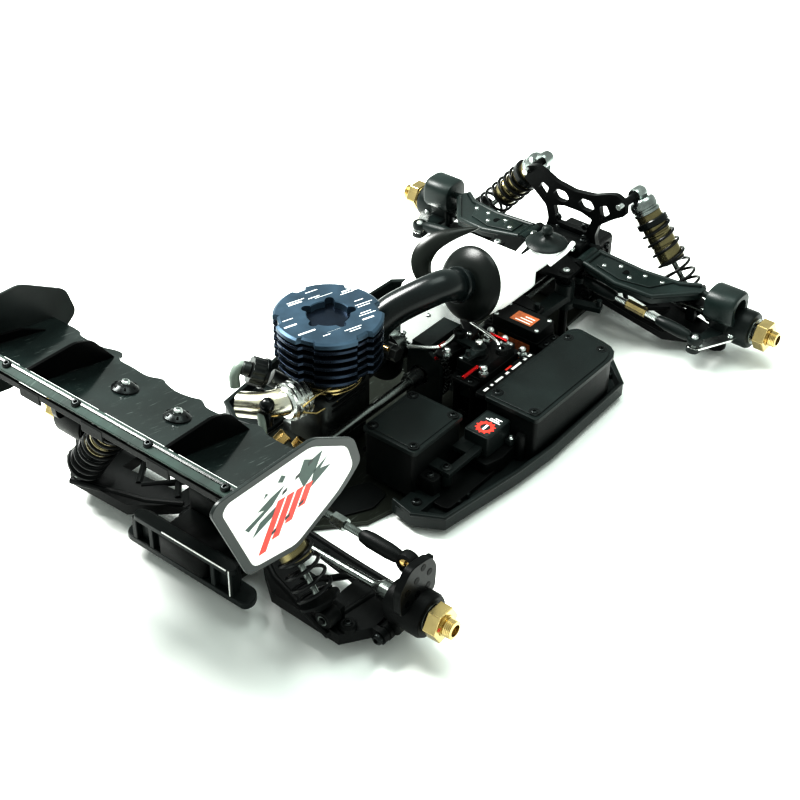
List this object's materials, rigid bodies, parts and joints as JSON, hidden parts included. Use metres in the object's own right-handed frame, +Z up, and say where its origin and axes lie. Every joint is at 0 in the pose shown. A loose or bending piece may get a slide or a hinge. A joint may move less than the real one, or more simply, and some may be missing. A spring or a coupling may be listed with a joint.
{
  "type": "rc buggy",
  "caption": "Radio-controlled off-road buggy as a rolling chassis: rear wing, finned engine, long-arm suspension with coil-over shocks, steering linkage and wheel hexes, with no wheels or body",
  "frame": {"origin": "on the underside of the chassis plate, half-way between the axles, on the centre line", "axes": "X forward, Y left, Z up; the buggy lies on its chassis plate"},
  "size_m": [0.453, 0.288, 0.149],
  "materials": {
    "aluminium": "bright machined and cast",
    "anodised_black": "black anodised",
    "anodised_olive": "dark olive anodised plate",
    "black_plastic": "satin moulded nylon",
    "gold": "gold anodised",
    "head_blue": "steel-blue anodised, machined fins",
    "satin_plastic": "glossy moulded plastic",
    "spring_steel": "black enamelled spring wire",
    "steel": "machined steel",
    "white_plastic": "white polymer and foam",
    "white_sheet": "glossy white sheet with a splash graphic"
  },
  "bodies": {
    "chassis": {"chassis_plate": "anodised_olive", "side_guard_right": "black_plastic", "side_guard_left": "black_plastic", "front_gearbox": "black_plastic", "rear_gearbox": "black_plastic", "front_shock_tower": "anodised_black", "rear_shock_tower": "anodised_black", "steering_top_plate": "anodised_black", "wing_mount": "black_plastic", "wing": "satin_plastic", "wing_endplate_right": "white_sheet", "wing_endplate_left": "white_sheet", "radio_tray": "black_plastic", "fuel_tank": "white_plastic", "engine_block": "aluminium", "cooling_head": "head_blue", "air_filter": "satin_plastic", "exhaust_manifold": "aluminium", "centre_diff_mount": "anodised_black", "throttle_servo": "black_plastic", "steering_servo": "black_plastic"},
    "fuel_tank_lid": {"fuel_tank_lid": "black_plastic"},
    "centre_diff": {"centre_diff": "steel"},
    "clutch_bell": {"clutch_bell": "steel"},
    "throttle_horn": {"throttle_horn": "black_plastic"},
    "servo_saver_crank": {"servo_saver_crank": "anodised_black"},
    "idler_crank": {"idler_crank": "black_plastic"},
    "steering_plate": {"steering_plate": "anodised_black"},
    "front_lower_arm_left": {"front_lower_arm_left": "black_plastic"},
    "front_upper_arm_left": {"front_upper_arm_left": "black_plastic"},
    "front_pillow_ball_left": {"front_pillow_ball_left": "steel"},
    "front_knuckle_left": {"front_knuckle_left": "black_plastic"},
    "front_wheel_hex_left": {"front_wheel_hex_left": "gold"},
    "tie_rod_left": {"tie_rod_left": "steel"},
    "rear_lower_arm_left": {"rear_lower_arm_left": "black_plastic"},
    "rear_hub_carrier_left": {"rear_hub_carrier_left": "black_plastic"},
    "rear_upper_link_left": {"rear_upper_link_left": "black_plastic"},
    "rear_wheel_hex_left": {"rear_wheel_hex_left": "gold"},
    "front_shock_body_left": {"front_shock_body_left": "gold", "front_shock_spring_left": "spring_steel"},
    "front_shock_shaft_left": {"front_shock_shaft_left": "steel"},
    "rear_shock_body_left": {"rear_shock_body_left": "gold", "rear_shock_spring_left": "spring_steel"},
    "rear_shock_shaft_left": {"rear_shock_shaft_left": "steel"},
    "front_lower_arm_right": {"front_lower_arm_right": "black_plastic"},
    "front_upper_arm_right": {"front_upper_arm_right": "black_plastic"},
    "front_pillow_ball_right": {"front_pillow_ball_right": "steel"},
    "front_knuckle_right": {"front_knuckle_right": "black_plastic"},
    "front_wheel_hex_right": {"front_wheel_hex_right": "gold"},
    "tie_rod_right": {"tie_rod_right": "steel"},
    "rear_lower_arm_right": {"rear_lower_arm_right": "black_plastic"},
    "rear_hub_carrier_right": {"rear_hub_carrier_right": "black_plastic"},
    "rear_upper_link_right": {"rear_upper_link_right": "black_plastic"},
    "rear_wheel_hex_right": {"rear_wheel_hex_right": "gold"},
    "front_shock_body_right": {"front_shock_body_right": "gold", "front_shock_spring_right": "spring_steel"},
    "front_shock_shaft_right": {"front_shock_shaft_right": "steel"},
    "rear_shock_body_right": {"rear_shock_body_right": "gold", "rear_shock_spring_right": "spring_steel"},
    "rear_shock_shaft_right": {"rear_shock_shaft_right": "steel"}
  },
  "joints": [
    {"name": "fuel_lid_hinge", "type": "hinge", "parent": "chassis", "child": "fuel_tank_lid", "pos_m": [0.112, -0.012, 0.0673], "axis": [0, 1, 0], "range_deg": [0, 95]},
    {"name": "centre_diff_spin", "type": "hinge", "parent": "chassis", "child": "centre_diff", "pos_m": [0, -0.003, 0.028], "axis": [1, 0, 0], "continuous": true},
    {"name": "clutch_bell_spin", "type": "hinge", "parent": "chassis", "child": "clutch_bell", "pos_m": [-0.016, 0.0185, 0.03866], "axis": [1, 0, 0], "continuous": true},
    {"name": "throttle_servo_turn", "type": "hinge", "parent": "chassis", "child": "throttle_horn", "pos_m": [0.0045, -0.033, 0.0485], "axis": [0, 0, 1], "range_deg": [-30, 30]},
    {"name": "steering_turn", "type": "hinge", "parent": "chassis", "child": "servo_saver_crank", "pos_m": [0.104, -0.026, 0.038], "axis": [0, 0, 1], "range_deg": [-22, 22]},
    {"name": "idler_turn", "type": "hinge", "parent": "chassis", "child": "idler_crank", "pos_m": [0.104, 0.026, 0.038], "axis": [0, 0, 1], "range_deg": [-22, 22]},
    {"name": "steering_plate_pin", "type": "hinge", "parent": "servo_saver_crank", "child": "steering_plate", "pos_m": [0.074, -0.026, 0.038], "axis": [0, 0, 1], "range_deg": [-22, 22]},
    {"name": "front_suspension_left", "type": "hinge", "parent": "chassis", "child": "front_lower_arm_left", "pos_m": [0.154, 0.022, 0.018], "axis": [1, 0, 0], "range_deg": [0, 18], "stiffness_Nm_per_rad": 3, "springref_deg": -5.73},
    {"name": "front_upper_arm_left_hinge", "type": "hinge", "parent": "chassis", "child": "front_upper_arm_left", "pos_m": [0.134, 0.022, 0.045], "axis": [1, 0, 0], "range_deg": [0, 18]},
    {"name": "front_pillow_ball_left_tilt", "type": "hinge", "parent": "front_lower_arm_left", "child": "front_pillow_ball_left", "pos_m": [0.158, 0.106, 0.008], "axis": [1, 0, 0], "range_deg": [-18, 0]},
    {"name": "front_kingpin_left", "type": "hinge", "parent": "front_pillow_ball_left", "child": "front_knuckle_left", "pos_m": [0.158, 0.106, 0.021], "axis": [0, 0, 1], "range_deg": [-22, 22]},
    {"name": "front_wheel_left_spin", "type": "hinge", "parent": "front_knuckle_left", "child": "front_wheel_hex_left", "pos_m": [0.163, 0.1385, 0.021], "axis": [0, 1, 0], "continuous": true},
    {"name": "tie_rod_left_tilt", "type": "hinge", "parent": "steering_plate", "child": "tie_rod_left", "pos_m": [0.128, 0.022, 0.0338], "axis": [1, 0, 0], "range_deg": [0, 18]},
    {"name": "rear_suspension_left", "type": "hinge", "parent": "chassis", "child": "rear_lower_arm_left", "pos_m": [-0.161, 0.022, 0.017], "axis": [1, 0, 0], "range_deg": [0, 18], "stiffness_Nm_per_rad": 3, "springref_deg": -5.73},
    {"name": "rear_hub_carrier_left_tilt", "type": "hinge", "parent": "rear_lower_arm_left", "child": "rear_hub_carrier_left", "pos_m": [-0.163, 0.11, 0.013], "axis": [1, 0, 0], "range_deg": [-18, 0]},
    {"name": "rear_upper_link_left_hinge", "type": "hinge", "parent": "chassis", "child": "rear_upper_link_left", "pos_m": [-0.162, 0.026, 0.057], "axis": [1, 0, 0], "range_deg": [0, 18]},
    {"name": "rear_wheel_left_spin", "type": "hinge", "parent": "rear_hub_carrier_left", "child": "rear_wheel_hex_left", "pos_m": [-0.163, 0.1385, 0.027], "axis": [0, 1, 0], "continuous": true},
    {"name": "front_shock_left_swing", "type": "hinge", "parent": "chassis", "child": "front_shock_body_left", "pos_m": [0.166, 0.035, 0.082], "axis": [1, 0, 0], "range_deg": [0, 9.1]},
    {"name": "front_shock_left_stroke", "type": "slide", "parent": "front_shock_body_left", "child": "front_shock_shaft_left", "axis": [0, 0.6353, -0.7723], "range_m": [-0.01717, 0], "deforming": ["front_shock_spring_left"]},
    {"name": "rear_shock_left_swing", "type": "hinge", "parent": "chassis", "child": "rear_shock_body_left", "pos_m": [-0.191, 0.042, 0.088], "axis": [1, 0, 0], "range_deg": [0, 7.5]},
    {"name": "rear_shock_left_stroke", "type": "slide", "parent": "rear_shock_body_left", "child": "rear_shock_shaft_left", "axis": [0, 0.5806, -0.8142], "range_m": [-0.01931, 0], "deforming": ["rear_shock_spring_left"]},
    {"name": "front_suspension_right", "type": "hinge", "parent": "chassis", "child": "front_lower_arm_right", "pos_m": [0.154, -0.022, 0.018], "axis": [-1, 0, 0], "range_deg": [0, 18], "stiffness_Nm_per_rad": 3, "springref_deg": -5.73},
    {"name": "front_upper_arm_right_hinge", "type": "hinge", "parent": "chassis", "child": "front_upper_arm_right", "pos_m": [0.134, -0.022, 0.045], "axis": [-1, 0, 0], "range_deg": [0, 18]},
    {"name": "front_pillow_ball_right_tilt", "type": "hinge", "parent": "front_lower_arm_right", "child": "front_pillow_ball_right", "pos_m": [0.158, -0.106, 0.008], "axis": [-1, 0, 0], "range_deg": [-18, 0]},
    {"name": "front_kingpin_right", "type": "hinge", "parent": "front_pillow_ball_right", "child": "front_knuckle_right", "pos_m": [0.158, -0.106, 0.021], "axis": [0, 0, 1], "range_deg": [-22, 22]},
    {"name": "front_wheel_right_spin", "type": "hinge", "parent": "front_knuckle_right", "child": "front_wheel_hex_right", "pos_m": [0.163, -0.1385, 0.021], "axis": [0, 1, 0], "continuous": true},
    {"name": "tie_rod_right_tilt", "type": "hinge", "parent": "steering_plate", "child": "tie_rod_right", "pos_m": [0.128, -0.022, 0.0338], "axis": [-1, 0, 0], "range_deg": [0, 18]},
    {"name": "rear_suspension_right", "type": "hinge", "parent": "chassis", "child": "rear_lower_arm_right", "pos_m": [-0.161, -0.022, 0.017], "axis": [-1, 0, 0], "range_deg": [0, 18], "stiffness_Nm_per_rad": 3, "springref_deg": -5.73},
    {"name": "rear_hub_carrier_right_tilt", "type": "hinge", "parent": "rear_lower_arm_right", "child": "rear_hub_carrier_right", "pos_m": [-0.163, -0.11, 0.013], "axis": [-1, 0, 0], "range_deg": [-18, 0]},
    {"name": "rear_upper_link_right_hinge", "type": "hinge", "parent": "chassis", "child": "rear_upper_link_right", "pos_m": [-0.162, -0.026, 0.057], "axis": [-1, 0, 0], "range_deg": [0, 18]},
    {"name": "rear_wheel_right_spin", "type": "hinge", "parent": "rear_hub_carrier_right", "child": "rear_wheel_hex_right", "pos_m": [-0.163, -0.1385, 0.027], "axis": [0, 1, 0], "continuous": true},
    {"name": "front_shock_right_swing", "type": "hinge", "parent": "chassis", "child": "front_shock_body_right", "pos_m": [0.166, -0.035, 0.082], "axis": [-1, 0, 0], "range_deg": [0, 9.1]},
    {"name": "front_shock_right_stroke", "type": "slide", "parent": "front_shock_body_right", "child": "front_shock_shaft_right", "axis": [0, -0.6353, -0.7723], "range_m": [-0.01717, 0], "deforming": ["front_shock_spring_right"]},
    {"name": "rear_shock_right_swing", "type": "hinge", "parent": "chassis", "child": "rear_shock_body_right", "pos_m": [-0.191, -0.042, 0.088], "axis": [-1, 0, 0], "range_deg": [0, 7.5]},
    {"name": "rear_shock_right_stroke", "type": "slide", "parent": "rear_shock_body_right", "child": "rear_shock_shaft_right", "axis": [0, -0.5806, -0.8142], "range_m": [-0.01931, 0], "deforming": ["rear_shock_spring_right"]}
  ],
  "couplings": [
    {"joint": "clutch_bell_spin", "follows": "centre_diff_spin", "ratio": -3},
    {"joint": "idler_turn", "follows": "steering_turn", "ratio": 1},
    {"joint": "steering_plate_pin", "follows": "steering_turn", "ratio": -1},
    {"joint": "front_upper_arm_left_hinge", "follows": "front_suspension_left", "ratio": 1},
    {"joint": "front_pillow_ball_left_tilt", "follows": "front_suspension_left", "ratio": -1},
    {"joint": "front_kingpin_left", "follows": "steering_turn", "ratio": 1},
    {"joint": "tie_rod_left_tilt", "follows": "front_suspension_left", "ratio": 1},
    {"joint": "rear_hub_carrier_left_tilt", "follows": "rear_suspension_left", "ratio": -1},
    {"joint": "rear_upper_link_left_hinge", "follows": "rear_suspension_left", "ratio": 1},
    {"joint": "front_shock_left_swing", "follows": "front_suspension_left", "ratio": 0.48482},
    {"joint": "front_shock_left_stroke", "follows": "front_suspension_left", "m_per_rad": -0.052949},
    {"joint": "rear_shock_left_swing", "follows": "rear_suspension_left", "ratio": 0.39871},
    {"joint": "rear_shock_left_stroke", "follows": "rear_suspension_left", "m_per_rad": -0.059634},
    {"joint": "front_upper_arm_right_hinge", "follows": "front_suspension_right", "ratio": 1},
    {"joint": "front_pillow_ball_right_tilt", "follows": "front_suspension_right", "ratio": -1},
    {"joint": "front_kingpin_right", "follows": "steering_turn", "ratio": 1},
    {"joint": "tie_rod_right_tilt", "follows": "front_suspension_right", "ratio": 1},
    {"joint": "rear_hub_carrier_right_tilt", "follows": "rear_suspension_right", "ratio": -1},
    {"joint": "rear_upper_link_right_hinge", "follows": "rear_suspension_right", "ratio": 1},
    {"joint": "front_shock_right_swing", "follows": "front_suspension_right", "ratio": 0.48482},
    {"joint": "front_shock_right_stroke", "follows": "front_suspension_right", "m_per_rad": -0.052949},
    {"joint": "rear_shock_right_swing", "follows": "rear_suspension_right", "ratio": 0.39871},
    {"joint": "rear_shock_right_stroke", "follows": "rear_suspension_right", "m_per_rad": -0.059634}
  ]
}
